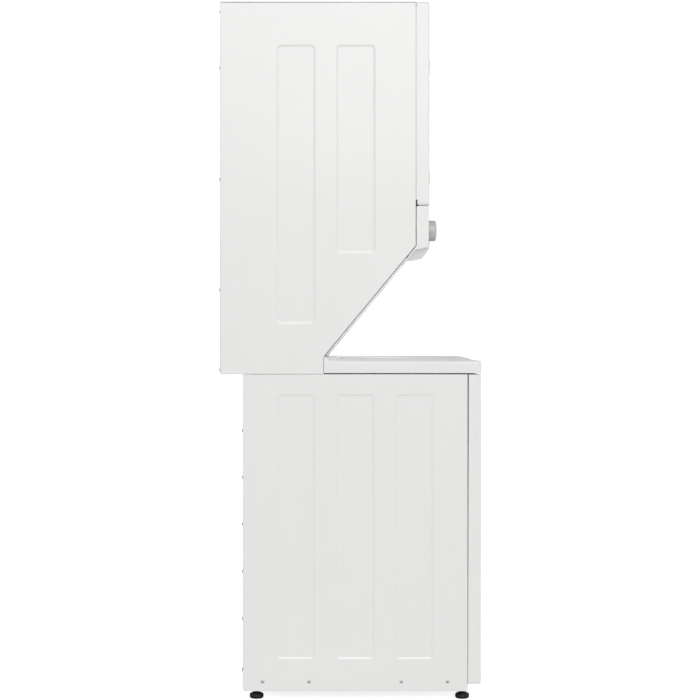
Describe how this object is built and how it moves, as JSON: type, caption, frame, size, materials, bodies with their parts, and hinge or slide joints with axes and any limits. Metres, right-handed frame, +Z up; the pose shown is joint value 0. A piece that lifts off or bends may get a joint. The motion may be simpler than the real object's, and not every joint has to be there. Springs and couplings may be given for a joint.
{
  "type": "washer dryer stack",
  "caption": "Full-height laundry centre: a top-loading washer below and a front-opening dryer above a sloping front, with turning knobs, hinged lid and door.",
  "frame": {"origin": "centre of the footprint on the floor: the bottom centre of the whole machine's bounding box, under the levelling feet", "axes": "+Z up; -Y towards the user (door, knobs and lid front); +X the user's right when facing the machine"},
  "size_m": [0.61, 0.684, 1.824],
  "materials": {
    "white_paint": "gloss",
    "galvanised": "satin",
    "drum_steel": "gloss",
    "basket_enamel": "gloss",
    "bright_steel": "satin",
    "spring_steel": "satin",
    "cast_housing": "satin",
    "motor_body": "satin",
    "white_plastic": "gloss",
    "tub_plastic": "matte",
    "dark_plastic": "matte",
    "duct_plastic": "matte",
    "grey_plastic": "satin",
    "belt_rubber": "matte",
    "seal_felt": "matte",
    "foot_rubber": "matte"
  },
  "bodies": {
    "cabinet": {"washer_left_side_panel": "white_paint", "washer_right_side_panel": "white_paint", "washer_front_panel": "white_paint", "washer_rear_panel": "galvanised", "washer_base_frame": "galvanised", "washer_top_frame": "white_paint", "suspension_rods": "bright_steel", "suspension_springs": "spring_steel", "water_inlet_valve": "tub_plastic", "drain_pump": "dark_plastic", "dryer_left_side_panel": "white_paint", "dryer_right_side_panel": "white_paint", "dryer_top_panel": "white_paint", "dryer_rear_panel": "galvanised", "dryer_floor_pan": "galvanised", "dryer_front_panel": "white_paint", "control_panel": "white_paint", "slanted_panel": "white_paint", "front_bulkhead": "galvanised", "rear_bulkhead": "galvanised", "heater_housing": "galvanised", "lint_duct": "duct_plastic", "blower_housing": "duct_plastic", "exhaust_duct": "galvanised", "dryer_motor": "motor_body", "dryer_belt": "belt_rubber", "control_switches": "dark_plastic", "hinge_plates": "white_paint", "terminal_block_cover": "galvanised", "cabinet_screws": "bright_steel"},
    "tub_unit": {"washer_tub": "tub_plastic", "tub_ring": "tub_plastic", "gearcase": "cast_housing", "washer_motor": "motor_body", "washer_belt": "belt_rubber"},
    "basket_unit": {"wash_basket": "basket_enamel", "balance_ring": "white_plastic"},
    "agitator_unit": {"agitator": "white_plastic", "washer_drive_pulley": "cast_housing"},
    "washer_rotor": {"washer_motor_pulley": "bright_steel"},
    "lid": {"washer_lid": "white_paint"},
    "door": {"dryer_door_outer": "white_paint", "dryer_door_inner": "white_paint", "dryer_door_seal": "seal_felt", "door_hinge_leaves": "bright_steel"},
    "drum": {"dryer_drum": "drum_steel", "drum_baffles": "white_plastic"},
    "blower_rotor": {"dryer_motor_shaft": "bright_steel", "blower_wheel": "tub_plastic"},
    "idler": {"idler_wheel": "white_plastic"},
    "screen": {"lint_screen": "grey_plastic"},
    "wash_cycle": {"wash_cycle_knob": "grey_plastic"},
    "wash_temperature": {"wash_temperature_knob": "grey_plastic"},
    "dry_cycle": {"dry_cycle_knob": "grey_plastic"},
    "wash_start": {"wash_start_button": "grey_plastic"},
    "dry_start": {"dry_start_button": "grey_plastic"},
    "foot_fl": {"front_left_foot": "foot_rubber"},
    "foot_fr": {"front_right_foot": "foot_rubber"},
    "foot_rl": {"rear_left_foot": "foot_rubber"},
    "foot_rr": {"rear_right_foot": "foot_rubber"}
  },
  "joints": [
    {"name": "tub_suspension", "type": "slide", "parent": "cabinet", "child": "tub_unit", "axis": [0, 0, 1], "range_m": [-0.01, 0.01], "stiffness_N_per_m": 30000, "springref_m": 0.0115, "deforming": ["suspension_springs"]},
    {"name": "basket_spin", "type": "hinge", "parent": "tub_unit", "child": "basket_unit", "pos_m": [0, -0.035, 0.5], "axis": [0, 0, 1], "continuous": true},
    {"name": "agitator_turn", "type": "hinge", "parent": "tub_unit", "child": "agitator_unit", "pos_m": [0, -0.035, 0.5], "axis": [0, 0, 1], "continuous": true},
    {"name": "washer_motor_spin", "type": "hinge", "parent": "tub_unit", "child": "washer_rotor", "pos_m": [-0.14, 0.07, 0.105], "axis": [0, 0, 1], "continuous": true},
    {"name": "lid_hinge", "type": "hinge", "parent": "cabinet", "child": "lid", "pos_m": [0, 0.03, 0.8959], "axis": [-1, 0, 0], "range_deg": [0, 48]},
    {"name": "door_hinge", "type": "hinge", "parent": "cabinet", "child": "door", "pos_m": [0.2165, -0.2087, 1.5], "axis": [0, 0, 1], "range_deg": [0, 165]},
    {"name": "drum_spin", "type": "hinge", "parent": "cabinet", "child": "drum", "pos_m": [0, 0.1, 1.545], "axis": [0, 1, 0], "continuous": true},
    {"name": "dryer_motor_spin", "type": "hinge", "parent": "cabinet", "child": "blower_rotor", "pos_m": [0, 0.1, 1.2], "axis": [0, 1, 0], "continuous": true},
    {"name": "idler_spin", "type": "hinge", "parent": "cabinet", "child": "idler", "pos_m": [0.08536, 0.209, 1.23605], "axis": [0, 1, 0], "continuous": true},
    {"name": "lint_screen_slide", "type": "slide", "parent": "cabinet", "child": "screen", "axis": [0, 0, 1], "range_m": [0, 0.14]},
    {"name": "wash_cycle_turn", "type": "hinge", "parent": "cabinet", "child": "wash_cycle", "pos_m": [-0.222, -0.2, 1.23], "axis": [0, 1, 0], "continuous": true},
    {"name": "wash_temperature_turn", "type": "hinge", "parent": "cabinet", "child": "wash_temperature", "pos_m": [-0.128, -0.2, 1.23], "axis": [0, 1, 0], "range_deg": [-120, 120]},
    {"name": "dry_cycle_turn", "type": "hinge", "parent": "cabinet", "child": "dry_cycle", "pos_m": [0.222, -0.2, 1.23], "axis": [0, 1, 0], "continuous": true},
    {"name": "wash_start_press", "type": "slide", "parent": "cabinet", "child": "wash_start", "axis": [0, 1, 0], "range_m": [0, 0.003], "stiffness_N_per_m": 800},
    {"name": "dry_start_press", "type": "slide", "parent": "cabinet", "child": "dry_start", "axis": [0, 1, 0], "range_m": [0, 0.003], "stiffness_N_per_m": 800},
    {"name": "foot_fl_height", "type": "slide", "parent": "cabinet", "child": "foot_fl", "axis": [0, 0, -1], "range_m": [0, 0.012]},
    {"name": "foot_fr_height", "type": "slide", "parent": "cabinet", "child": "foot_fr", "axis": [0, 0, -1], "range_m": [0, 0.012]},
    {"name": "foot_rl_height", "type": "slide", "parent": "cabinet", "child": "foot_rl", "axis": [0, 0, -1], "range_m": [0, 0.012]},
    {"name": "foot_rr_height", "type": "slide", "parent": "cabinet", "child": "foot_rr", "axis": [0, 0, -1], "range_m": [0, 0.012]}
  ],
  "couplings": [
    {"joint": "washer_motor_spin", "follows": "agitator_turn", "ratio": 5},
    {"joint": "dryer_motor_spin", "follows": "drum_spin", "ratio": 21.25},
    {"joint": "idler_spin", "follows": "drum_spin", "ratio": -12.75}
  ]
}
